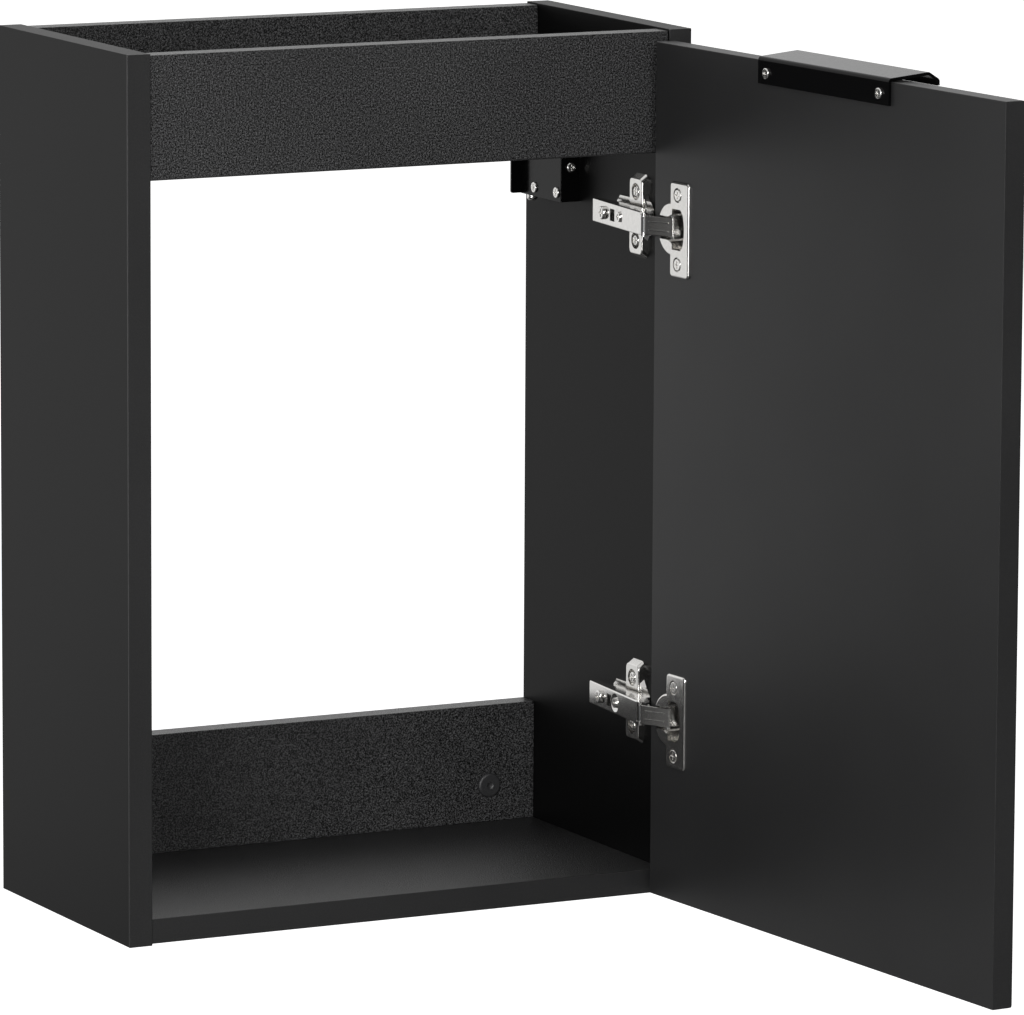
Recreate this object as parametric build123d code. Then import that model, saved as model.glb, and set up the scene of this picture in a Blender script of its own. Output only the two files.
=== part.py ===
from build123d import *
import os
from math import atan2, cos, degrees, hypot, radians, sin

# Wall-hung cabinet for under a small basin: a shell of laminated boards, open at the top and at the back,
# with one door on two concealed cup hinges. It is modelled with the door standing open.
# Millimetres. +Z is up, the front faces -Y and the wall is at +Y.
# Every piece is first placed from the middle of the width, the front plane of the carcass and the bottom of
# the side panels. The finished pieces then move so that the origin is the middle of the back top rail's back.

# Carcass boards
width = 400.0
height = 570.0
carcass_depth = 202.0
board = 16.0
board_round = 0.4
band = 1.0
front_rail_height = 79.0
front_rail_recess = 2.0
back_rail_height = 80.0
rail_drop = 1.2
bottom_lift = 1.0
bottom_recess = 1.0

# Door
door_thickness = 16.0
door_gap = 2.0
door_side_reveal = 2.0
door_bottom_reveal = 3.5
door_top_reveal = 6.5
door_outer_round = 3.0
door_angle = 94.0

# Knock-down fittings in the board ends
cam_radius = 7.4
cam_length = 12.3
cam_setback = 34.0
cam_from_edge = 25.0
fitting_pitch = 32.0
cam_bolt_radius = 3.0
cam_thread_radius = 2.5
cam_thread_length = 11.0
cap_radius = 8.3
cap_height = 2.2
dowel_radius = 4.0
dowel_in_side = 11.0
dowel_in_board = 18.0
bottom_cam_front = 50.0
bottom_cam_back = 150.0
fit_gap = 0.05
screw_play = 0.2
pin_press = 0.02

# Edge pull on top of the door
pull_width = 148.0
pull_sheet = 2.0
pull_flange = 17.0
pull_clearance = 0.2
pull_reach = 30.0
pull_rise = 5.0
pull_nose = 9.4
pull_nose_fall = 32.0
pull_lip = 3.8
pull_bend = 2.6
pull_screw_pitch = 128.0
pull_screw_drop = 7.8
pull_head_radius = 3.5
pull_head_height = 1.5
wood_screw_radius = 1.6
wood_screw_length = 12.0

# Concealed hinges: cup in the door
hinge_inset = 119.0
cup_edge = 5.5
cup_radius = 17.45
cup_depth = 12.6
cup_wall = 0.85
cup_plate = 1.6
cup_plate_width = 22.4
cup_plate_height = 62.0
cup_plate_back = 2.6
cup_plate_round = 1.4
cup_plate_corner = 3.0
cup_window_half = 13.3
cup_window_arc = 30.6
cup_window_front = 14.6
cup_slot = 15.2
cup_slot_deep = 1.5
cup_throat_from = 18.0
cup_throat_half = 10.0
cup_screw_setback = 6.5
cup_screw_pitch = 45.0
cup_head_radius = 3.9
cup_head_height = 1.2
cup_head_pocket = 4.8
cup_head_sunk = 1.1
cheek = 1.2
cheek_to_edge = 3.2
cheek_to_middle = 4.5
cup_pin_in = 12.3
cup_pin_deep = 5.3

# Concealed hinges: arm, links and their pins
arm_front_height = 19.8
arm_slope = 4.5
arm_start = 0.2
arm_end = 79.5
arm_width = 15.4
hinge_sheet = 1.2
pin_radius = 1.5
pin_running = 0.05
outer_pin = (1.0, -2.5)
inner_pin = (6.6, 1.7)
eye_radius = 2.5
arm_notch_radius = 1.1
ear_front_deep = 9.2
ear_middle = 45.0
ear_middle_deep = 8.0
ear_back_deep = 5.0
link_turn_share = -0.5
link_width = 12.6
cover_near = 3.5
cover_sheet = 1.1
cover_round = 0.6
cover_start = 3.0
cover_overrun = 3.8
cover_rib_margin = 3.3
cover_rib_half_pitch = 2.75
cover_rib_width = 1.1
cover_rib_height = 0.5
inner_link_width = 8.8
inner_link_length = 8.4
inner_link_thickness = 1.8
inner_link_angle = -100.0

# Concealed hinges: mounting plate and adjusting screws
plate_setback = 37.0
plate_screw_pitch = 32.0
wing_width = 17.8
wing_span = 55.4
wing_height = 4.3
wing_round = 3.2
wing_end_run = 3.1
wing_edge_round = 0.9
flare_height = 3.2
flare_slope = 25.0
flare_reach = 4.1
flare_rise = 6.0
flare_corner = 1.0
plate_base_width = 22.0
plate_base_height = 2.6
plate_base_front = 15.0
plate_base_back = 66.0
plate_base_corner = 4.0
bridge_front = 17.0
bridge_back = 69.0
bridge_width = 12.2
bridge_sheet = 1.5
bridge_gap = 0.3
plate_head_radius = 3.8
plate_head_height = 2.8
euro_screw_radius = 2.5
euro_screw_length = 11.0
counterbore_radius = 5.6
counterbore_depth = 2.6
fixing_screw_at = 61.5
fixing_head_radius = 4.4
fixing_head_height = 2.4
fixing_thread_radius = 2.5
fixing_thread_length = 8.0
fixing_slot_length = 12.0
window_at = 47.5
window_length = 7.4
window_width = 8.0
overlay_screw_at = 37.2
overlay_dish_radius = 6.2
overlay_dish_depth = 0.5
overlay_screw_radius = 3.3
overlay_screw_length = 6.0
overlay_screw_proud = 0.8

# Cabinet hangers in the top rear corners
hanger_depth = 60.2
hanger_back_gap = 1.5
hanger_rail_gap = 0.8
hanger_thickness = 14.0
hanger_height = 44.0
hanger_sheet = 1.5
hanger_flange = 6.8
hanger_fold_round = 0.5
hanger_screw_inset = 5.7
hanger_screw_pitch = 32.0
hanger_screw_up = 6.0
hanger_head_radius = 3.6
hanger_head_height = 1.2
depth_screw_up = 23.0
depth_screw_length = 12.0
adjuster_radius = 2.0
adjuster_head_radius = 3.4
adjuster_head_height = 2.2
height_screw_back = 5.5
height_head_radius = 3.6
height_head_height = 4.6
height_screw_gap = 0.2
hook_thickness = 3.0
hook_inset = 17.7
hook_bottom_up = 15.0
hook_height = 14.0
hook_wall_gap = 1.5
hook_claw = 3.0
hook_claw_drop = 8.0
hook_lug = 8.0
hook_thread_gap = 0.06

# Positions that follow from the sizes above
half_width = width / 2
inner_x = half_width - board
rail_top = height - rail_drop
front_rail_bottom = rail_top - front_rail_height
back_rail_bottom = rail_top - back_rail_height
bottom_top = bottom_lift + board
back_rail_front = carcass_depth - board
door_width = width - 2 * door_side_reveal
door_bottom = door_bottom_reveal
door_top = height - door_top_reveal
hinge_heights = (door_top - hinge_inset, door_bottom + hinge_inset)
cup_centre = cup_edge + cup_radius
hanger_back = back_rail_front - hanger_back_gap
hanger_front = hanger_back - hanger_depth
hanger_top = back_rail_bottom - hanger_rail_gap
hanger_bottom = hanger_top - hanger_height
row_origin = Vector(0, carcass_depth, rail_top - back_rail_height / 2)

MIDDLE = Align.CENTER
LOW = Align.MIN


def block(x_span, y_span, z_span):
    """A square-edged block between two corners."""
    spans = (x_span, y_span, z_span)
    sizes = [high - low for low, high in spans]
    corner = [low for low, high in spans]
    return Pos(*corner) * Box(*sizes, align=(LOW, LOW, LOW))


def rod(radius, start, end):
    """A round bar or bore from one point to another."""
    run = Vector(*end) - Vector(*start)
    upright = Cylinder(radius, run.length, align=(MIDDLE, MIDDLE, LOW))
    return Plane(origin=start, z_dir=run) * upright


def prism(points, z_span):
    """An upright prism over an outline in plan."""
    low, high = z_span
    outline = Polygon(*points, align=None)
    return Pos(0, 0, low) * extrude(outline, high - low, dir=(0, 0, 1))


def about(half):
    """A span that lies evenly about zero."""
    return (-half, half)


def turned(point, angle):
    """A point in plan turned about the origin by an angle in degrees."""
    x, y = point
    c, s = cos(radians(angle)), sin(radians(angle))
    return (c * x - s * y, s * x + c * y)


def screw(head_radius, head_height, shank_radius, shank_length):
    """A cross-recessed screw: the head stands up from the origin and the shank hangs down."""
    head = Cylinder(head_radius, head_height, align=(MIDDLE, MIDDLE, LOW))
    rim = head.edges().sort_by(Axis.Z)[-1]
    head = fillet(rim, head_height * 0.45)
    slot_length = head_radius * 1.25
    slot_width = head_radius * 0.34
    slot_floor = head_height * 0.35
    for spans in ((slot_length, slot_width), (slot_width, slot_length)):
        head -= block(about(spans[0] / 2), about(spans[1] / 2), (slot_floor, head_height + 1))
    return head + rod(shank_radius, (0, 0, 0), (0, 0, -shank_length))


def carcass_board(x_span, y_span, z_span):
    """A laminated board with its arrises just broken."""
    blank = block(x_span, y_span, z_span)
    return fillet(blank.edges(), board_round)


# Board ends and the fittings that join them
class BoardEnd:
    """One cam fitting at a board's end: its bores, cam, bolt and cover cap."""

    def __init__(self, side, y, z, face):
        inward = Vector(-side, 0, 0)
        face = Vector(*face)
        end = Vector(side * inner_x, y, z)
        centre = end + inward * cam_setback
        mouth = centre + face * (board / 2)
        floor = mouth - face * cam_length
        self.pocket = rod(cam_radius + fit_gap, mouth + face, floor - face * fit_gap)
        self.bolt_bore = rod(cam_bolt_radius + 1, end - inward, centre)
        thread_end = end - inward * cam_thread_length
        self.thread_bore = rod(cam_thread_radius + fit_gap, thread_end - inward * fit_gap, end)
        head_end = centre + inward
        tunnel = rod(cam_bolt_radius + 0.5, head_end, end)
        lock = rod(cam_radius, mouth - face * 0.2, floor)
        cross = screw_cross(cam_radius * 0.5, 2.0)
        lock -= tunnel
        lock -= Plane(origin=mouth - face * 0.2, z_dir=face) * cross
        self.lock = lock
        self.bolt = rod(cam_thread_radius, thread_end, end) + rod(cam_bolt_radius, end, centre)
        self.cap = Plane(origin=mouth, z_dir=face) * cover_cap()


def screw_cross(reach, depth):
    """The cross-shaped recess that a screwdriver fits, cut down from the origin."""
    arm = reach * 0.3
    spans = ((reach, arm), (arm, reach))
    arms = [block(about(long), about(wide), (-depth, 1)) for long, wide in spans]
    return arms[0] + arms[1]


def cover_cap():
    """A domed cap with a small dimple, standing on a face at the origin."""
    disc = Cylinder(cap_radius, cap_height, align=(MIDDLE, MIDDLE, LOW))
    disc = fillet(disc.edges().sort_by(Axis.Z)[-1], cap_height * 0.75)
    dimple = cap_radius * 0.5
    return disc - Pos(0, 0, cap_height + dimple * 0.8) * Sphere(dimple)


class DowelEnd:
    """One wood dowel across the joint between a side panel and a board's end."""

    def __init__(self, side, y, z):
        inward = Vector(-side, 0, 0)
        end = Vector(side * inner_x, y, z)
        outer = end - inward * dowel_in_side
        inner = end + inward * dowel_in_board
        pin = rod(dowel_radius, outer, inner)
        ends = pin.edges().filter_by(GeomType.CIRCLE)
        self.dowel = chamfer(ends, dowel_radius * 0.2)
        self.bore = rod(dowel_radius + fit_gap, outer - inward * fit_gap, inner + inward * fit_gap)


def rail_fittings(y, low_edge, face):
    """The cam fittings and dowels at both ends of an upright rail."""
    cam_z = low_edge + cam_from_edge
    cams = [BoardEnd(side, y, cam_z, face) for side in (-1, 1)]
    dowels = [DowelEnd(side, y, cam_z + fitting_pitch) for side in (-1, 1)]
    return cams, dowels


front_rail_y = front_rail_recess + board / 2
back_rail_y = carcass_depth - board / 2
front_rail_ends = rail_fittings(front_rail_y, front_rail_bottom, (0, 1, 0))
back_top_ends = rail_fittings(back_rail_y, back_rail_bottom, (0, -1, 0))
back_bottom_ends = rail_fittings(back_rail_y, bottom_top, (0, -1, 0))

bottom_z = bottom_lift + board / 2
bottom_cams = []
bottom_dowels = []
for side in (-1, 1):
    for y in (bottom_cam_front, bottom_cam_back):
        bottom_cams.append(BoardEnd(side, y, bottom_z, (0, 0, -1)))
    for y in (bottom_cam_front + fitting_pitch, bottom_cam_back - fitting_pitch):
        bottom_dowels.append(DowelEnd(side, y, bottom_z))
bottom_ends = (bottom_cams, bottom_dowels)

capped_ends = (front_rail_ends, back_top_ends, back_bottom_ends)
every_end = capped_ends + (bottom_ends,)


def bored(piece, ends):
    """A board with the cam pockets, bolt bores and dowel bores of its own ends."""
    cams, dowels = ends
    for cam in cams:
        piece -= cam.pocket
        piece -= cam.bolt_bore
    for dowel in dowels:
        piece -= dowel.bore
    return piece


def split_band(piece, band_part):
    """A board and the edge band cut from its edge."""
    return piece - band_part, piece & band_part


nodes = {}


def add_boards():
    """The six boards of the shell with their edge bands."""
    x_span = about(inner_x)
    front = carcass_board(x_span, (front_rail_recess, front_rail_recess + board),
                          (front_rail_bottom, rail_top))
    low_strip = block(about(width), (0, carcass_depth), (0, front_rail_bottom + band))
    front, front_band = split_band(front, low_strip)
    nodes["front_top_rail"] = bored(front, front_rail_ends)
    nodes["front_rail_edge_band"] = front_band

    back_span = (back_rail_front, carcass_depth)
    back_top = carcass_board(x_span, back_span, (back_rail_bottom, rail_top))
    nodes["back_top_rail"] = bored(back_top, back_top_ends)
    back_bottom = carcass_board(x_span, back_span, (bottom_top, bottom_top + back_rail_height))
    nodes["back_bottom_rail"] = bored(back_bottom, back_bottom_ends)

    bottom = carcass_board(x_span, (bottom_recess, carcass_depth), (bottom_lift, bottom_top))
    front_strip = block(about(width), (-1, bottom_recess + band), (0, height))
    bottom, bottom_band = split_band(bottom, front_strip)
    nodes["bottom_panel"] = bored(bottom, bottom_ends)
    nodes["bottom_edge_band"] = bottom_band

    for side, name in ((-1, "left"), (1, "right")):
        x_low, x_high = sorted((side * inner_x, side * half_width))
        panel = carcass_board((x_low, x_high), (0, carcass_depth), (0, height))
        strip = block(about(width), (-1, band), (-1, height + 1))
        panel, panel_band = split_band(panel, strip)
        for cams, dowels in every_end:
            for cam in cams:
                panel -= cam.thread_bore
            for dowel in dowels:
                panel -= dowel.bore
        for y, z in hanger_screw_points:
            bore_radius = adjuster_radius + fit_gap
            panel -= rod(bore_radius, (side * (inner_x - 1), y, z),
                         (side * (inner_x + euro_screw_length + fit_gap), y, z))
        if side > 0:
            for y, z in plate_screw_points:
                bore_radius = euro_screw_radius + fit_gap
                panel -= rod(bore_radius, (inner_x - 1, y, z),
                             (inner_x + euro_screw_length + fit_gap, y, z))
        nodes[f"side_panel_{name}"] = panel
        nodes[f"side_edge_band_{name}"] = panel_band


def add_fittings():
    """Cam locks, their bolts and caps, and the wood dowels."""
    locks = [cam.lock for cams, dowels in every_end for cam in cams]
    bolts = [cam.bolt for cams, dowels in every_end for cam in cams]
    dowels = [dowel.dowel for cams, dowels in every_end for dowel in dowels]
    caps = [cam.cap for cams, dowels in capped_ends for cam in cams]
    nodes["cam_locks"] = locks
    nodes["cam_bolts"] = bolts
    nodes["wood_dowels"] = dowels
    nodes["cam_cover_caps"] = caps


# Hanger screws lie on two rows of the housing, one pitch apart each way
hanger_rows = [hanger_bottom + hanger_screw_up + row * hanger_screw_pitch for row in (0, 1)]
hanger_columns = [hanger_front + hanger_screw_inset + column * hanger_screw_pitch for column in (0, 1)]
hanger_screw_points = [(y, z) for z in hanger_rows for y in hanger_columns]
hanger_face_x = inner_x - hanger_thickness
hanger_middle_x = inner_x - hanger_thickness / 2
height_screw_y = hanger_back - height_screw_back
depth_screw_z = hanger_bottom + depth_screw_up


def hanger_housing():
    """The right housing: a folded channel, open to the panel and the wall, with a narrow rear flange."""
    shell = block((hanger_face_x, inner_x), (hanger_front, hanger_back), (hanger_bottom, hanger_top))
    upright = shell.edges().filter_by(Axis.Z).sort_by(Axis.X)[:2].sort_by(Axis.Y)[:1]
    shell = fillet(upright, hanger_fold_round)
    hollow = block((hanger_face_x + hanger_sheet, inner_x + 1),
                   (hanger_front + hanger_sheet, hanger_back + 1),
                   (hanger_bottom + hanger_sheet, hanger_top - hanger_sheet))
    flange = block((hanger_face_x - hanger_flange, hanger_face_x + hanger_sheet),
                   (hanger_back - hanger_sheet, hanger_back), (hanger_bottom, hanger_top))
    outer = flange.edges().filter_by(Axis.Y).sort_by(Axis.X)[:2]
    flange = fillet(outer, hanger_sheet)
    housing = shell - hollow + flange
    hole = adjuster_radius + 0.1
    for y, z in hanger_screw_points:
        housing -= rod(hole, (hanger_face_x - 1, y, z), (inner_x, y, z))
    housing -= rod(hole, (hanger_middle_x, hanger_front - 1, depth_screw_z),
                   (hanger_middle_x, hanger_front + hanger_sheet + 1, depth_screw_z))
    housing -= rod(hole, (hanger_middle_x, height_screw_y, hanger_bottom - 1),
                   (hanger_middle_x, height_screw_y, hanger_bottom + hanger_sheet + 1))
    return housing


def hanger_hook():
    """The hook that reaches back under the top rail, with the threaded lug for its height screw."""
    low = hanger_bottom + hook_bottom_up
    high = low + hook_height
    tip = carcass_depth - hook_wall_gap
    x_span = (hanger_middle_x - hook_thickness / 2, hanger_middle_x + hook_thickness / 2)
    arm = block(x_span, (hanger_front + hook_inset, tip), (low, high))
    claw = block(x_span, (tip - hook_claw, tip), (low - hook_claw_drop, high))
    lug = block((hanger_middle_x - hook_lug / 2, hanger_middle_x + hook_lug / 2),
                (height_screw_y - hook_lug / 2, height_screw_y + hook_lug / 2), (low, high))
    hook = arm + claw + lug
    return hook - rod(adjuster_radius + hook_thread_gap, (hanger_middle_x, height_screw_y, low - 1),
                      (hanger_middle_x, height_screw_y, high + 1))


def add_hangers():
    """Both hangers: the left one is the right one's mirror image."""
    housing = hanger_housing()
    hook = hanger_hook()
    height_screw_length = hanger_height - hanger_sheet - 4
    lift = screw(height_head_radius, height_head_height, adjuster_radius, height_screw_length)
    lift_at = (hanger_middle_x, height_screw_y, hanger_bottom - height_screw_gap)
    lift = Plane(origin=lift_at, z_dir=(0, 0, -1)) * lift
    reach = screw(adjuster_head_radius, adjuster_head_height, adjuster_radius, depth_screw_length)
    reach = Plane(origin=(hanger_middle_x, hanger_front, depth_screw_z), z_dir=(0, -1, 0)) * reach
    fixing_length = hanger_thickness + euro_screw_length
    fixings = []
    for y, z in hanger_screw_points:
        fixing = screw(hanger_head_radius, hanger_head_height, adjuster_radius, fixing_length)
        fixings.append(Plane(origin=(hanger_face_x, y, z), z_dir=(-1, 0, 0)) * fixing)
    pieces = {"hanger_housing": housing, "hanger_hook": hook,
              "hanger_height_screw": lift, "hanger_depth_screw": reach}
    for name, piece in pieces.items():
        nodes[f"{name}_right"] = piece
        nodes[f"{name}_left"] = mirror(piece, about=Plane.YZ)
    nodes["hanger_fixing_screws"] = fixings + [mirror(piece, about=Plane.YZ) for piece in fixings]


# Hinge arm frame: its own X runs from the visible face towards the panel, its own Y runs to the back
arm_frame = Location((inner_x - arm_front_height, 0, 0), (0, 0, -arm_slope))


def on_arm(point):
    """A point in the arm's frame, as cabinet X and Y."""
    place = arm_frame * Pos(point[0], point[1], 0)
    return (place.position.X, place.position.Y)


# Four-bar geometry in plan: fixed pins on the arm, moving pin in the cup
outer_pin_at = on_arm(outer_pin)
inner_pin_at = on_arm(inner_pin)
edge_closed = (half_width - door_side_reveal, -door_gap)
cup_pin_closed = (edge_closed[0] - cup_pin_in, edge_closed[1] - cup_pin_deep)
link_span = (cup_pin_closed[0] - outer_pin_at[0], cup_pin_closed[1] - outer_pin_at[1])
link_length = hypot(*link_span)
link_closed_angle = degrees(atan2(link_span[1], link_span[0]))
link_angle = link_closed_angle + link_turn_share * door_angle
swung = turned(link_span, link_turn_share * door_angle)
cup_pin_open = (outer_pin_at[0] + swung[0], outer_pin_at[1] + swung[1])
pin_to_edge = turned((cup_pin_in, cup_pin_deep), door_angle)
edge_open = (cup_pin_open[0] + pin_to_edge[0], cup_pin_open[1] + pin_to_edge[1])

# Door frame: its own X runs from the hinge edge to the free edge, its own Y from the inner to the outer face
door_frame = Location((edge_open[0], edge_open[1], 0), (0, 0, 180 + door_angle))
window_span = (window_at - window_length / 2, window_at + window_length / 2)
plate_screw_points = [(plate_setback, z + up * plate_screw_pitch / 2)
                      for z in hinge_heights for up in (-1, 1)]


def at_hinges(piece):
    """One copy of a hinge piece at each hinge's height."""
    return [Pos(0, 0, z) * piece for z in hinge_heights]


def hinge_plate():
    """The cross-shaped mounting plate: two wings, a low base and a channel-shaped bridge under the arm."""
    half_span = wing_span / 2
    half_wing = wing_width / 2
    base_half = plate_base_width / 2
    crown = half_span - wing_end_run
    profile = [(inner_x, -half_span), (inner_x, half_span),
               (inner_x - wing_height, crown), (inner_x - wing_height, -crown)]
    wing = extrude(Plane.XZ * Polygon(*profile, align=None), half_wing, both=True)
    corners = wing.edges().filter_by(lambda edge: crown < abs(edge.center().Z) < half_span)
    wing = fillet(corners, wing_round)
    wing = fillet(wing.faces().sort_by(Axis.X)[0].edges(), wing_edge_round)
    wing = Pos(0, plate_setback, 0) * wing
    off_panel = Plane((inner_x, plate_setback, 0), x_dir=(0, 0, 1), z_dir=(-1, 0, 0))
    side_y = half_wing - flare_corner
    flare = [(base_half - flare_corner, -half_wing - flare_reach), (base_half + flare_rise, -side_y),
             (base_half + flare_rise, side_y), (base_half - flare_corner, half_wing + flare_reach)]
    flare += [(-z, -y) for z, y in flare]
    wing += extrude(off_panel * Polygon(*flare, align=None), flare_height, taper=flare_slope)
    base = block((inner_x - plate_base_height, inner_x), (plate_base_front, plate_base_back),
                 about(base_half))
    base = chamfer(base.edges().filter_by(Axis.X), plate_base_corner)
    top_x = hinge_sheet + bridge_gap
    bridge = block((top_x, top_x + arm_front_height), (bridge_front, bridge_back),
                   about(bridge_width / 2))
    channel = block((top_x + bridge_sheet, top_x + 2 * arm_front_height),
                    (bridge_front - 1, bridge_back + 1), about(bridge_width / 2 - bridge_sheet))
    bridge -= channel
    bridge = arm_frame * bridge
    bridge &= block((0, inner_x), (0, carcass_depth), about(bridge_width))
    plate = wing + base + bridge
    for up in (-1, 1):
        z = up * plate_screw_pitch / 2
        head_floor = inner_x - wing_height + counterbore_depth
        plate -= rod(counterbore_radius, (inner_x - wing_height - 1, plate_setback, z),
                     (head_floor, plate_setback, z))
        plate -= rod(euro_screw_radius + fit_gap, (head_floor, plate_setback, z),
                     (inner_x + 1, plate_setback, z))
    plate -= arm_frame * rod(fixing_thread_radius + fit_gap, (0, fixing_screw_at, 0),
                             (fixing_thread_length + 2, fixing_screw_at, 0))
    plate -= arm_frame * rod(overlay_screw_radius + screw_play, (0, overlay_screw_at, 0),
                             (overlay_screw_length + 1, overlay_screw_at, 0))
    plate -= arm_frame * block((0, hinge_sheet + bridge_gap + bridge_sheet + 1), window_span,
                               about(window_width / 2))
    return plate


def hinge_arm():
    """The arm: a folded channel whose ears widen at the front to hold both link pins."""
    front = outer_pin[1] - eye_radius
    outline = [(0, arm_end), (0, arm_start), (outer_pin[0] - eye_radius * 0.6, outer_pin[1]),
               (outer_pin[0], front), (inner_pin[0] + eye_radius * 0.7, inner_pin[1] - eye_radius * 0.7),
               (ear_front_deep, inner_pin[1] + eye_radius), (ear_middle_deep, ear_middle),
               (ear_back_deep, arm_end)]
    half = arm_width / 2
    body = prism(outline, about(half))
    for pin in (outer_pin, inner_pin):
        body += rod(eye_radius, (*pin, -half), (*pin, half))
    inside = block((hinge_sheet, arm_front_height), (arm_start, arm_end + 1), about(half - hinge_sheet))
    mouth = block((-arm_front_height, arm_front_height), (front - 1, arm_start),
                  about(half - hinge_sheet))
    arm = body - inside - mouth
    arm = fillet(arm.edges().filter_by(Axis.Y).sort_by(Axis.X)[:2], hinge_sheet * 0.8)
    notch_y = arm_start + arm_notch_radius / 2
    for z in (hinge_sheet - half, half - hinge_sheet):
        arm -= rod(arm_notch_radius, (-1, notch_y, z), (hinge_sheet + pin_running, notch_y, z))
    for pin in (outer_pin, inner_pin):
        arm -= rod(pin_radius + pin_press, (*pin, -half - 1), (*pin, half + 1))
    slot = SlotOverall(fixing_slot_length, 2 * fixing_thread_radius + 1)
    slot = extrude(Plane.YZ * Pos(fixing_screw_at - 1, 0) * slot, amount=hinge_sheet + 1, both=True)
    arm -= slot
    arm -= block((-1, hinge_sheet + 1), window_span, about(window_width / 2))
    arm -= rod(overlay_screw_radius + fit_gap, (-1, overlay_screw_at, 0),
               (hinge_sheet + 1, overlay_screw_at, 0))
    dish = Cone(overlay_dish_radius, overlay_screw_radius, overlay_dish_depth, align=(MIDDLE, MIDDLE, LOW))
    arm -= Plane(origin=(0, overlay_screw_at, 0), z_dir=(1, 0, 0)) * dish
    return arm_frame * arm


def outer_link():
    """The outer link: a cover sheet over two ears, drilled for the arm pin and the cup pin."""
    cover_far = cover_near + cover_sheet
    tail = link_length + cover_overrun
    half = link_width / 2
    cover = block((cover_start, tail), (-cover_far, -cover_near), about(half))
    cover = fillet(cover.faces().sort_by(Axis.Y)[0].edges(), cover_round)
    near_ear = [(-eye_radius, 0), (cover_start, -cover_near), (cover_start + eye_radius, -cover_near),
                (eye_radius, 0)]
    far_ear = [(link_length - eye_radius, -cover_near), (link_length + eye_radius, -cover_near),
               (link_length + eye_radius, 0), (link_length - eye_radius, 0)]
    link = prism(near_ear, about(half)) + prism(far_ear, about(half))
    for at in (0, link_length):
        link += rod(eye_radius, (at, 0, -half), (at, 0, half))
    link -= block((-link_length, 2 * link_length), (-cover_near, link_length),
                  about(half - hinge_sheet))
    link += cover
    rib_span = (cover_start + cover_rib_margin, link_length)
    for z in (-cover_rib_half_pitch, cover_rib_half_pitch):
        rib = block(rib_span, (-cover_far - cover_rib_height, -cover_near),
                    (z - cover_rib_width / 2, z + cover_rib_width / 2))
        link += fillet(rib.faces().sort_by(Axis.Y)[0].edges(), cover_rib_height * 0.6)
    for at in (0, link_length):
        link -= rod(pin_radius + pin_running, (at, 0, -half - 1), (at, 0, half + 1))
    return Location((*outer_pin_at, 0), (0, 0, link_angle)) * link


def inner_link():
    """The inner link's eye and blade, cut short of the door's edge."""
    half = inner_link_width / 2
    eye = rod(eye_radius, (0, 0, -half), (0, 0, half))
    blade = block((0, inner_link_length), about(inner_link_thickness / 2), about(half))
    blade = fillet(blade.edges().filter_by(Axis.Z).sort_by(Axis.X)[-2:], inner_link_thickness * 0.4)
    link = eye + blade
    link -= rod(pin_radius + pin_running, (0, 0, -half - 1), (0, 0, half + 1))
    return Location((*inner_pin_at, 0), (0, 0, inner_link_angle)) * link


# The cup is drawn face up, then stood against the door: its Y becomes height and its Z becomes depth
door_upright = Plane((0, 0, 0), x_dir=(1, 0, 0), z_dir=(0, 1, 0)).location


def hinge_cup():
    """The pressed cup with its screw plate, a window for the arm, a slot for the link and two pin cheeks."""
    centre = (cup_centre, 0)
    bowl = rod(cup_radius, (*centre, 0), (*centre, cup_depth))
    bowl = fillet(bowl.edges().sort_by(Axis.Z)[-1], cup_wall)
    rim = rod(cup_radius, (*centre, -cup_plate), (*centre, 0))
    plate_low = cup_centre - cup_plate_back
    plate = block((plate_low, plate_low + cup_plate_width), about(cup_plate_height / 2),
                  (-cup_plate, 0))
    plate = fillet(plate.edges().filter_by(Axis.Z), cup_plate_corner)
    body = bowl + rim + plate
    body = fillet(body.faces().sort_by(Axis.Z)[0].edges(), cup_plate_round)
    hollow = rod(cup_radius - cup_wall, (*centre, 0), (*centre, cup_depth - cup_wall))
    cheek_low = cup_slot / 2
    through = (-cup_plate - 1, fit_gap)
    window = block((cup_centre, cup_centre + cup_radius), about(cup_window_half), through)
    window &= rod(cup_radius - cup_wall - fit_gap, (*centre, through[0]), (*centre, through[1]))
    arc_middle = cup_centre + cup_window_front - cup_window_arc
    window &= rod(cup_window_arc, (arc_middle, 0, through[0]), (arc_middle, 0, through[1]))
    slot = block((0, cup_centre + 1), about(cheek_low), (-cup_plate - 1, cup_slot_deep))
    throat = [(cup_throat_from, -cheek_low), (cup_centre + 1, -cup_throat_half),
              (cup_centre + 1, cup_throat_half), (cup_throat_from, cheek_low)]
    slot += prism(throat, through)
    body -= hollow
    body -= window
    body -= slot
    for up in (-1, 1):
        z_low, z_high = sorted((up * cheek_low, up * (cheek_low + cheek)))
        body += block((cup_pin_in - cheek_to_edge, cup_pin_in + cheek_to_middle), (z_low, z_high),
                      (0, cup_depth - cup_wall))
    reach = cheek_low + cheek + 1
    body -= rod(pin_radius + pin_press, (cup_pin_in, -reach, cup_pin_deep), (cup_pin_in, reach, cup_pin_deep))
    for up in (-1, 1):
        at = (cup_centre + cup_screw_setback, up * cup_screw_pitch / 2)
        body -= rod(wood_screw_radius + screw_play, (*at, -cup_plate - 1), (*at, 1))
        body -= rod(cup_head_pocket, (*at, -cup_plate - 1), (*at, cup_head_sunk - cup_plate))
    return door_upright * body


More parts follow.
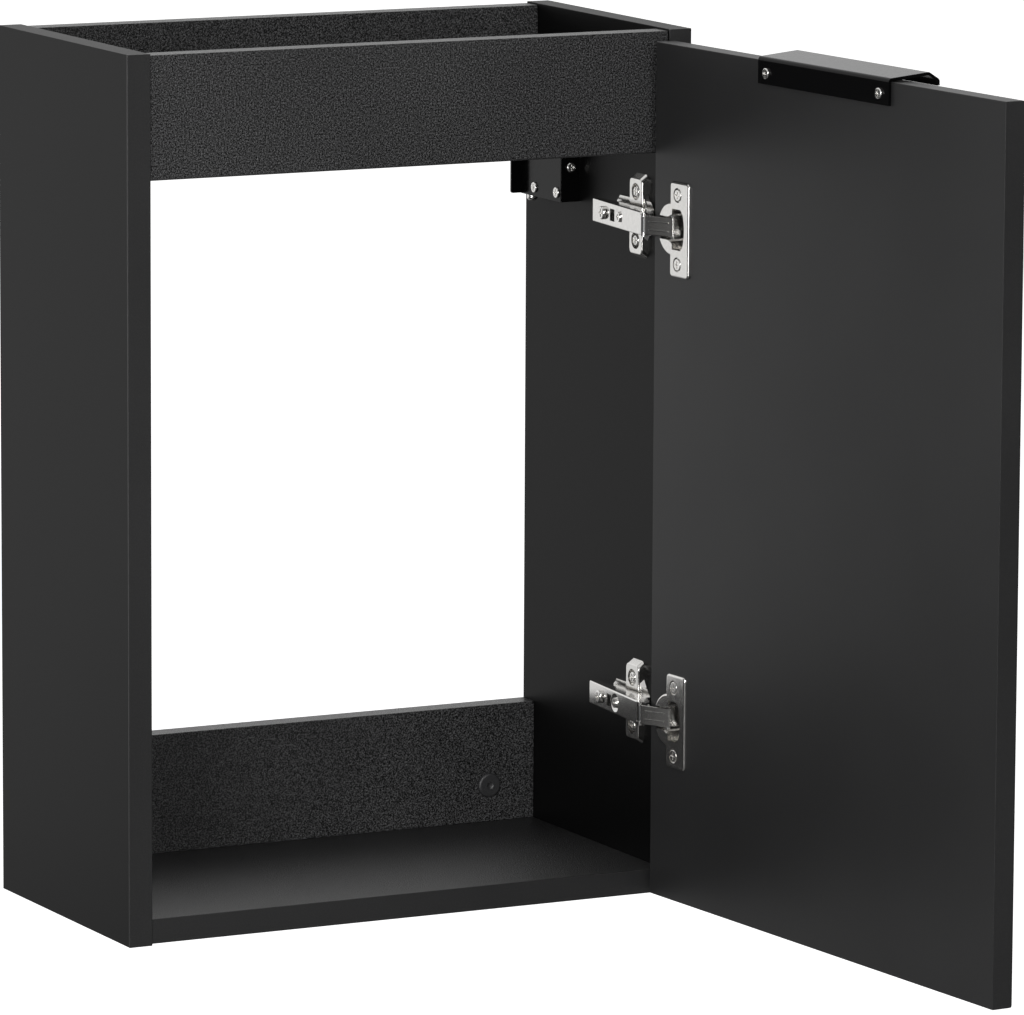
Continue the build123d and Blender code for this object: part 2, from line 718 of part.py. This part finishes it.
def add_hinges():
    """The two hinges, each set of like pieces in turn."""
    half_pin = arm_width / 2
    arm_pins = []
    for pin in (outer_pin, inner_pin):
        arm_pins.append(arm_frame * rod(pin_radius, (*pin, -half_pin), (*pin, half_pin)))
    fixing = screw(fixing_head_radius, fixing_head_height, fixing_thread_radius, fixing_thread_length)
    fixing = Plane(origin=(0, fixing_screw_at, 0), z_dir=(-1, 0, 0)) * fixing
    overlay = rod(overlay_screw_radius, (-overlay_screw_proud, overlay_screw_at, 0),
                  (overlay_screw_length, overlay_screw_at, 0))
    cross = screw_cross(overlay_screw_radius * 0.6, 1.6)
    overlay -= Plane(origin=(-overlay_screw_proud, overlay_screw_at, 0), z_dir=(-1, 0, 0)) * cross
    cup_pin_half = cup_slot / 2 + cheek
    cup_pin = rod(pin_radius, (cup_pin_in, cup_pin_deep, -cup_pin_half),
                  (cup_pin_in, cup_pin_deep, cup_pin_half))
    singles = {"hinge_plate": hinge_plate(), "hinge_arm": hinge_arm(), "outer_link": outer_link(),
               "inner_link": inner_link(), "hinge_cup": door_frame * hinge_cup()}
    for name, piece in singles.items():
        upper, lower = at_hinges(piece)
        nodes[f"{name}_upper"] = upper
        nodes[f"{name}_lower"] = lower
    nodes["arm_pins"] = [copy for pin in arm_pins for copy in at_hinges(pin)]
    nodes["depth_fixing_screws"] = at_hinges(arm_frame * fixing)
    nodes["overlay_screws"] = at_hinges(arm_frame * overlay)
    nodes["cup_pins"] = at_hinges(door_frame * cup_pin)

    plate_screws = []
    for y, z in plate_screw_points:
        seat = inner_x - wing_height + counterbore_depth
        length = euro_screw_length + inner_x - seat
        piece = screw(plate_head_radius, plate_head_height, euro_screw_radius, length)
        plate_screws.append(Plane(origin=(seat, y, z), z_dir=(-1, 0, 0)) * piece)
    nodes["plate_screws"] = plate_screws

    cup_screws = []
    for z in hinge_heights:
        for up in (-1, 1):
            at = (cup_centre + cup_screw_setback, cup_head_sunk - cup_plate, z + up * cup_screw_pitch / 2)
            piece = screw(cup_head_radius, cup_head_height, wood_screw_radius, wood_screw_length)
            cup_screws.append(door_frame * (Plane(origin=at, z_dir=(0, -1, 0)) * piece))
    nodes["cup_screws"] = cup_screws


pull_screw_places = [(door_width / 2 + end * pull_screw_pitch / 2, door_top - pull_screw_drop)
                     for end in (-1, 1)]


def add_door():
    """The door panel, its edge pull and the pull's screws."""
    panel = block((0, door_width), (0, door_thickness), (door_bottom, door_top))
    outer_edges = panel.faces().sort_by(Axis.Y)[-1].edges()
    panel = fillet(outer_edges, door_outer_round)
    inner_edges = panel.faces().sort_by(Axis.Y)[0].edges()
    panel = fillet(inner_edges, board_round)
    for z in hinge_heights:
        panel -= rod(cup_radius + fit_gap, (cup_centre, -1, z), (cup_centre, cup_depth + 0.5, z))
        for up in (-1, 1):
            x = cup_centre + cup_screw_setback
            screw_z = z + up * cup_screw_pitch / 2
            tip = wood_screw_length + cup_head_sunk - cup_plate
            panel -= rod(wood_screw_radius + fit_gap, (x, -1, screw_z), (x, tip + fit_gap, screw_z))
    for x, z in pull_screw_places:
        panel -= rod(wood_screw_radius + fit_gap, (x, -1, z),
                     (x, wood_screw_length - pull_sheet + fit_gap, z))
    nodes["door_panel"] = door_frame * panel

    # The pull's outer face in section: up the inner face of the door, over its top and down to a lip
    back = -pull_sheet
    top = door_top + pull_clearance + pull_sheet
    rise = (back + pull_reach, top + pull_reach * sin(radians(pull_rise)))
    nose = (rise[0] + pull_nose * cos(radians(pull_nose_fall)),
            rise[1] - pull_nose * sin(radians(pull_nose_fall)))
    lip = (nose[0], nose[1] - pull_lip)
    line = FilletPolyline((back, top - pull_flange), (back, top), rise, nose, lip, radius=pull_bend)
    section = make_face(line.wire().offset_2d(pull_sheet, side=Side.RIGHT, closed=True).edges())
    start = door_width / 2 - pull_width / 2
    pull = extrude(Plane((start, 0, 0), x_dir=(0, 1, 0), z_dir=(1, 0, 0)) * section, pull_width)
    for x, z in pull_screw_places:
        pull -= rod(wood_screw_radius + screw_play, (x, -pull_sheet - 1, z), (x, 0.5, z))
    nodes["edge_pull"] = door_frame * pull
    pull_screws = []
    for x, z in pull_screw_places:
        piece = screw(pull_head_radius, pull_head_height, wood_screw_radius, wood_screw_length)
        pull_screws.append(door_frame * (Plane(origin=(x, -pull_sheet, z), z_dir=(0, -1, 0)) * piece))
    nodes["pull_screws"] = pull_screws


add_boards()
add_fittings()
add_hangers()
add_hinges()
add_door()

os.makedirs("parts", exist_ok=True)
to_row = Pos(*(-row_origin))
for name, piece in nodes.items():
    pieces = piece if isinstance(piece, list) else [piece]
    solids = [solid for each in pieces for solid in (to_row * each).solids()]
    export_step(Compound(children=solids, label=name), f"parts/{name}.step")

print("hinge edge, door open", edge_open, "link length", link_length, "link angle", link_angle)
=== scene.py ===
from math import cos, radians, sin

import bpy
from mathutils import Matrix, Vector

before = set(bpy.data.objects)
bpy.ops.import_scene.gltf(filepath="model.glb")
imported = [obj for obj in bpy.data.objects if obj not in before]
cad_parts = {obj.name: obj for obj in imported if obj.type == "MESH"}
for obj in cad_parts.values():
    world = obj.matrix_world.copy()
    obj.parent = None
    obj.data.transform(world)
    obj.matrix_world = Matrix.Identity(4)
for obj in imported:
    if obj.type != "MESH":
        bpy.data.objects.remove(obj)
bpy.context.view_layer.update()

# Camera: a long lens, a little above the cabinet and to its left.
# Its place is measured from the middle of the width, the front plane of the carcass and the bottom of
# the side panels, and then moved to the wall face of the back top rail.
lens_place = Vector((-2.2263, -4.4904, 1.0921)) - Vector((0.0, 0.202, 0.5288))
heading = radians(27.098)
downward = radians(9.313)
tilt = radians(0.293)
ahead = Vector((sin(heading) * cos(downward), cos(heading) * cos(downward), -sin(downward)))
across = Vector((cos(heading), -sin(heading), 0.0))
above = across.cross(ahead)
right = across * cos(tilt) + above * sin(tilt)
up = above * cos(tilt) - across * sin(tilt)
lens = bpy.data.cameras.new("photo_camera")
lens.sensor_width = 36.0
lens.lens = 278.33
lens.clip_end = 100.0
camera = bpy.data.objects.new("photo_camera", lens)
turn = Matrix((right, up, -ahead)).transposed()
camera.matrix_world = Matrix.Translation(lens_place) @ turn.to_4x4()
bpy.context.collection.objects.link(camera)
bpy.context.scene.camera = camera
bpy.context.scene.view_settings.view_transform = "Standard"

# Studio: white all round as the camera sees it, and an even level for the light that falls on the cabinet.
# Reflections see a graded studio instead: a white backdrop behind and overhead, and dim walls in front,
# so that the bright metal keeps its dark reflections.
white = (1.0, 1.0, 1.0, 1.0)
backdrop_level = 1.0
ambient_level = 0.4
dim_wall_level = 0.16
ceiling_level = 0.9
studio = bpy.data.worlds.new("studio")
studio.use_nodes = True
bpy.context.scene.world = studio
world_nodes = studio.node_tree.nodes
world_links = studio.node_tree.links
world_nodes.clear()
world_out = world_nodes.new("ShaderNodeOutputWorld")
seen = world_nodes.new("ShaderNodeBackground")
seen.inputs["Color"].default_value = white
seen.inputs["Strength"].default_value = backdrop_level
mirrored = world_nodes.new("ShaderNodeBackground")
mirrored.inputs["Color"].default_value = white
lit = world_nodes.new("ShaderNodeBackground")
lit.inputs["Color"].default_value = white
lit.inputs["Strength"].default_value = ambient_level
look = world_nodes.new("ShaderNodeTexCoord")
look_parts = world_nodes.new("ShaderNodeSeparateXYZ")
behind = world_nodes.new("ShaderNodeMapRange")
behind.interpolation_type = "SMOOTHSTEP"
behind.inputs["From Min"].default_value = 0.1
behind.inputs["From Max"].default_value = 0.6
behind.inputs["To Min"].default_value = dim_wall_level
behind.inputs["To Max"].default_value = backdrop_level
overhead = world_nodes.new("ShaderNodeMapRange")
overhead.inputs["From Min"].default_value = 0.35
overhead.inputs["From Max"].default_value = 0.9
overhead.inputs["To Min"].default_value = 0.0
overhead.inputs["To Max"].default_value = ceiling_level
brighter = world_nodes.new("ShaderNodeMath")
brighter.operation = "MAXIMUM"
world_path = world_nodes.new("ShaderNodeLightPath")
camera_or_through = world_nodes.new("ShaderNodeMath")
camera_or_through.operation = "MAXIMUM"
gloss_mix = world_nodes.new("ShaderNodeMixShader")
world_mix = world_nodes.new("ShaderNodeMixShader")
world_links.new(look.outputs["Generated"], look_parts.inputs[0])
world_links.new(look_parts.outputs["Y"], behind.inputs["Value"])
world_links.new(look_parts.outputs["Z"], overhead.inputs["Value"])
world_links.new(behind.outputs["Result"], brighter.inputs[0])
world_links.new(overhead.outputs["Result"], brighter.inputs[1])
world_links.new(brighter.outputs[0], mirrored.inputs["Strength"])
world_links.new(world_path.outputs["Is Camera Ray"], camera_or_through.inputs[0])
world_links.new(world_path.outputs["Is Transmission Ray"], camera_or_through.inputs[1])
world_links.new(world_path.outputs["Is Glossy Ray"], gloss_mix.inputs["Fac"])
world_links.new(lit.outputs[0], gloss_mix.inputs[1])
world_links.new(mirrored.outputs[0], gloss_mix.inputs[2])
world_links.new(camera_or_through.outputs[0], world_mix.inputs["Fac"])
world_links.new(gloss_mix.outputs[0], world_mix.inputs[1])
world_links.new(seen.outputs[0], world_mix.inputs[2])
world_links.new(world_mix.outputs[0], world_out.inputs["Surface"])

# Floor: a plain pale sheet well below the wall-hung cabinet. It keeps the cabinet's shadow.
# To the camera it glows up to white like the backdrop, and reflections see it dim in front and bright behind.
floor_height = -0.98
floor_size = 60.0
floor_grey = 0.9
floor_glow_level = 0.8
floor_dim_level = 0.13
floor_bright_level = 0.95
bpy.ops.object.select_all(action="DESELECT")
bpy.ops.mesh.primitive_plane_add(size=floor_size, location=(0.0, 0.0, floor_height))
floor = bpy.context.object
floor.name = "floor"
floor_paint = bpy.data.materials.new("floor_paint")
floor_paint.use_nodes = True
floor_nodes = floor_paint.node_tree.nodes
floor_links = floor_paint.node_tree.links
floor_shader = floor_nodes["Principled BSDF"]
floor_shader.inputs["Base Color"].default_value = (floor_grey, floor_grey, floor_grey, 1.0)
floor_shader.inputs["Roughness"].default_value = 0.9
floor_shader.inputs["Specular IOR Level"].default_value = 0.0
floor_glow = floor_nodes.new("ShaderNodeEmission")
floor_path = floor_nodes.new("ShaderNodeLightPath")
floor_seen = floor_nodes.new("ShaderNodeMath")
floor_seen.operation = "MAXIMUM"
floor_level_up = floor_nodes.new("ShaderNodeMath")
floor_level_up.operation = "MULTIPLY"
floor_level_up.inputs[1].default_value = floor_glow_level
floor_sum = floor_nodes.new("ShaderNodeAddShader")
floor_place = floor_nodes.new("ShaderNodeTexCoord")
floor_parts = floor_nodes.new("ShaderNodeSeparateXYZ")
floor_behind = floor_nodes.new("ShaderNodeMapRange")
floor_behind.interpolation_type = "SMOOTHSTEP"
floor_behind.inputs["From Min"].default_value = 0.2
floor_behind.inputs["From Max"].default_value = 3.2
floor_behind.inputs["To Min"].default_value = floor_dim_level
floor_behind.inputs["To Max"].default_value = floor_bright_level
floor_mirrored = floor_nodes.new("ShaderNodeEmission")
floor_mix = floor_nodes.new("ShaderNodeMixShader")
floor_links.new(floor_path.outputs["Is Camera Ray"], floor_seen.inputs[0])
floor_links.new(floor_path.outputs["Is Transmission Ray"], floor_seen.inputs[1])
floor_links.new(floor_seen.outputs[0], floor_level_up.inputs[0])
floor_links.new(floor_level_up.outputs[0], floor_glow.inputs["Strength"])
floor_links.new(floor_shader.outputs[0], floor_sum.inputs[0])
floor_links.new(floor_glow.outputs[0], floor_sum.inputs[1])
floor_links.new(floor_place.outputs["Object"], floor_parts.inputs[0])
floor_links.new(floor_parts.outputs["Y"], floor_behind.inputs["Value"])
floor_links.new(floor_behind.outputs["Result"], floor_mirrored.inputs["Strength"])
floor_links.new(floor_path.outputs["Is Glossy Ray"], floor_mix.inputs["Fac"])
floor_links.new(floor_sum.outputs[0], floor_mix.inputs[1])
floor_links.new(floor_mirrored.outputs[0], floor_mix.inputs[2])
floor_links.new(floor_mix.outputs[0], floor_nodes["Material Output"].inputs["Surface"])
floor.data.materials.append(floor_paint)

# Lamps: two softboxes at the front left and a weak reflector at the lower right, all turned to the cabinet.
# Each has its place and size in metres and its power in watts.
lamp_target = Vector((0.0, -0.15, -0.25))
for lamp_name, lamp_at, lamp_size, lamp_power in (
        ("softbox_left", (-2.2, -2.4, 0.1), 1.2, 56.0),
        ("softbox_front", (-0.6, -3.2, 1.3), 1.2, 45.0),
        ("reflector_right", (1.0, -2.8, -0.55), 1.1, 2.6)):
    lamp = bpy.data.lights.new(lamp_name, "AREA")
    lamp.shape = "SQUARE"
    lamp.size = lamp_size
    lamp.energy = lamp_power
    softbox = bpy.data.objects.new(lamp_name, lamp)
    aim = lamp_target - Vector(lamp_at)
    softbox.matrix_world = Matrix.Translation(lamp_at) @ aim.to_track_quat("-Z", "Y").to_matrix().to_4x4()
    bpy.context.collection.objects.link(softbox)


# Boards: wood-based panels faced with black laminate, cut square and joined by hidden fittings.
# The side panels and the door are nearly smooth, and the three rails and the bottom have a pebbled press.
def laminate(name, shade, rough, pearl, gloss):
    """Black laminate: a fine pebbled press texture over a faint, broad change of tone, with the grain peaks
    brightened in the colour, partly the grain's own tone and partly painted glints.
    """
    paint = bpy.data.materials.new(name)
    paint.use_nodes = True
    nodes = paint.node_tree.nodes
    links = paint.node_tree.links
    shader = nodes["Principled BSDF"]
    place = nodes.new("ShaderNodeTexCoord")
    grains = nodes.new("ShaderNodeTexNoise")
    grains.inputs["Scale"].default_value = 950.0
    grains.inputs["Detail"].default_value = 2.0
    grains.inputs["Roughness"].default_value = 0.6
    # Grain peaks brightened in the base colour up to several times: partly the pebbled grain's own tone,
    # partly painted glints standing in for the light the grains catch.
    flecks_and_glints = nodes.new("ShaderNodeMapRange")
    flecks_and_glints.inputs["From Min"].default_value = 0.42
    flecks_and_glints.inputs["From Max"].default_value = 0.68
    flecks_and_glints.inputs["To Min"].default_value = 1.0 - pearl
    flecks_and_glints.inputs["To Max"].default_value = 1.0 + 4.5 * pearl
    speckled = nodes.new("ShaderNodeMix")
    speckled.data_type = "RGBA"
    speckled.blend_type = "MULTIPLY"
    speckled.inputs["Factor"].default_value = 1.0
    clouds = nodes.new("ShaderNodeTexNoise")
    clouds.inputs["Scale"].default_value = 9.0
    clouds.inputs["Detail"].default_value = 2.0
    tones = nodes.new("ShaderNodeValToRGB")
    tones.color_ramp.elements[0].position = 0.3
    tones.color_ramp.elements[0].color = (shade * 0.86, shade * 0.86, shade * 0.88, 1.0)
    tones.color_ramp.elements[1].position = 0.75
    tones.color_ramp.elements[1].color = (shade * 1.1, shade * 1.1, shade * 1.12, 1.0)
    sheen = nodes.new("ShaderNodeMapRange")
    sheen.inputs["To Min"].default_value = rough - 0.05
    sheen.inputs["To Max"].default_value = rough + 0.07
    press = nodes.new("ShaderNodeBump")
    press.inputs["Strength"].default_value = pearl
    press.inputs["Distance"].default_value = 0.0007 * pearl
    for texture in (grains, clouds):
        links.new(place.outputs["Object"], texture.inputs["Vector"])
    links.new(clouds.outputs["Fac"], tones.inputs["Fac"])
    links.new(grains.outputs["Fac"], flecks_and_glints.inputs["Value"])
    links.new(tones.outputs["Color"], speckled.inputs[6])
    links.new(flecks_and_glints.outputs["Result"], speckled.inputs[7])
    links.new(speckled.outputs[2], shader.inputs["Base Color"])
    links.new(grains.outputs["Fac"], sheen.inputs["Value"])
    links.new(sheen.outputs["Result"], shader.inputs["Roughness"])
    links.new(grains.outputs["Fac"], press.inputs["Height"])
    links.new(press.outputs["Normal"], shader.inputs["Normal"])
    shader.inputs["Specular IOR Level"].default_value = gloss
    return paint


def dress(names, paint):
    """Gives finished material to the CAD pieces of these names."""
    for name in names:
        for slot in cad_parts[name].material_slots:
            slot.material = paint


# The side panels and the door are one black laminate in two copies: the side panels' darker copy is painted
# shade that keeps their inside faces dark, and the door's lighter copy is painted light.
shaded_side_laminate = laminate("shaded_side_laminate", 0.002, 0.42, 0.05, 0.085)
dress(["side_panel_left", "side_panel_right"], shaded_side_laminate)
lit_door_laminate = laminate("lit_door_laminate", 0.012, 0.42, 0.05, 0.3)
dress(["door_panel"], lit_door_laminate)
pearl_laminate = laminate("pearl_laminate", 0.014, 0.34, 0.9, 0.3)
dress(["front_top_rail", "back_top_rail", "back_bottom_rail"], pearl_laminate)
# The bottom panel's pebbled laminate is a darker copy of the rails' laminate: painted shade for the shelf's
# shaded back.
shaded_shelf_laminate = laminate("shaded_shelf_laminate", 0.004, 0.36, 0.9, 0.85)
dress(["bottom_panel"], shaded_shelf_laminate)

# Edge bands: one millimetre of black plastic glued along the front edges and trimmed flush.
edging = laminate("edging", 0.012, 0.36, 0.08, 0.35)
dress(["side_edge_band_left", "side_edge_band_right", "bottom_edge_band", "front_rail_edge_band"], edging)


# Metalwork: pressed hinge parts and screws, bright plated over steel.
# Fine brushing and a little unevenness of the plating break up the reflections.
def plated(name, tone, rough, metal=1.0, ripple=0.06):
    """Plated or cast metal with a slightly uneven skin."""
    paint = bpy.data.materials.new(name)
    paint.use_nodes = True
    nodes = paint.node_tree.nodes
    links = paint.node_tree.links
    shader = nodes["Principled BSDF"]
    place = nodes.new("ShaderNodeTexCoord")
    skin = nodes.new("ShaderNodeTexNoise")
    skin.inputs["Scale"].default_value = 420.0
    skin.inputs["Detail"].default_value = 4.0
    gloss = nodes.new("ShaderNodeMapRange")
    gloss.inputs["To Min"].default_value = max(rough - 0.06, 0.02)
    gloss.inputs["To Max"].default_value = rough + 0.08
    tones = nodes.new("ShaderNodeValToRGB")
    tones.color_ramp.elements[0].position = 0.35
    tones.color_ramp.elements[0].color = tuple(part * 0.93 for part in tone) + (1.0,)
    tones.color_ramp.elements[1].position = 0.7
    tones.color_ramp.elements[1].color = tuple(tone) + (1.0,)
    wave = nodes.new("ShaderNodeBump")
    wave.inputs["Strength"].default_value = ripple
    wave.inputs["Distance"].default_value = 0.0001
    links.new(place.outputs["Object"], skin.inputs["Vector"])
    links.new(skin.outputs["Fac"], gloss.inputs["Value"])
    links.new(gloss.outputs["Result"], shader.inputs["Roughness"])
    links.new(skin.outputs["Fac"], tones.inputs["Fac"])
    links.new(tones.outputs["Color"], shader.inputs["Base Color"])
    links.new(skin.outputs["Fac"], wave.inputs["Height"])
    links.new(wave.outputs["Normal"], shader.inputs["Normal"])
    shader.inputs["Metallic"].default_value = metal
    return paint


nickel = plated("nickel_plate", (0.72, 0.71, 0.69), 0.16)
dress(["hinge_plate_upper", "hinge_plate_lower", "hinge_arm_upper", "hinge_arm_lower", "outer_link_upper",
       "outer_link_lower", "inner_link_upper", "inner_link_lower", "hinge_cup_upper", "hinge_cup_lower",
       "cam_bolts"], nickel)
pin_steel = plated("pin_steel", (0.16, 0.16, 0.16), 0.3)
dress(["arm_pins", "cup_pins"], pin_steel)
screw_zinc = plated("screw_zinc", (0.78, 0.77, 0.75), 0.2)
dress(["plate_screws", "depth_fixing_screws", "overlay_screws", "cup_screws", "pull_screws",
       "hanger_height_screw_left", "hanger_height_screw_right", "hanger_depth_screw_left",
       "hanger_depth_screw_right", "hanger_fixing_screws"], screw_zinc)
hook_zinc = plated("hook_zinc", (0.55, 0.55, 0.54), 0.3)
dress(["hanger_hook_left", "hanger_hook_right"], hook_zinc)
cast_zinc = plated("cast_zinc", (0.5, 0.5, 0.5), 0.4)
dress(["cam_locks"], cast_zinc)

# Black steel: the folded hanger housings and the edge pull, powder coated.
black_coat = plated("black_coat", (0.0015, 0.0015, 0.0016), 0.16, metal=0.0, ripple=0.1)
black_coat.node_tree.nodes["Principled BSDF"].inputs["Specular IOR Level"].default_value = 0.1
dress(["hanger_housing_left", "hanger_housing_right", "edge_pull"], black_coat)

# Cover caps: small moulded plastic discs pressed over the cam locks.
black_plastic = plated("black_plastic", (0.02, 0.02, 0.021), 0.42, metal=0.0, ripple=0.1)
dress(["cam_cover_caps"], black_plastic)

# Dowels: plain beech pins in the board joints, hidden in the finished cabinet.
dowel_beech = plated("dowel_beech", (0.62, 0.42, 0.24), 0.6, metal=0.0, ripple=0.3)
dress(["wood_dowels"], dowel_beech)
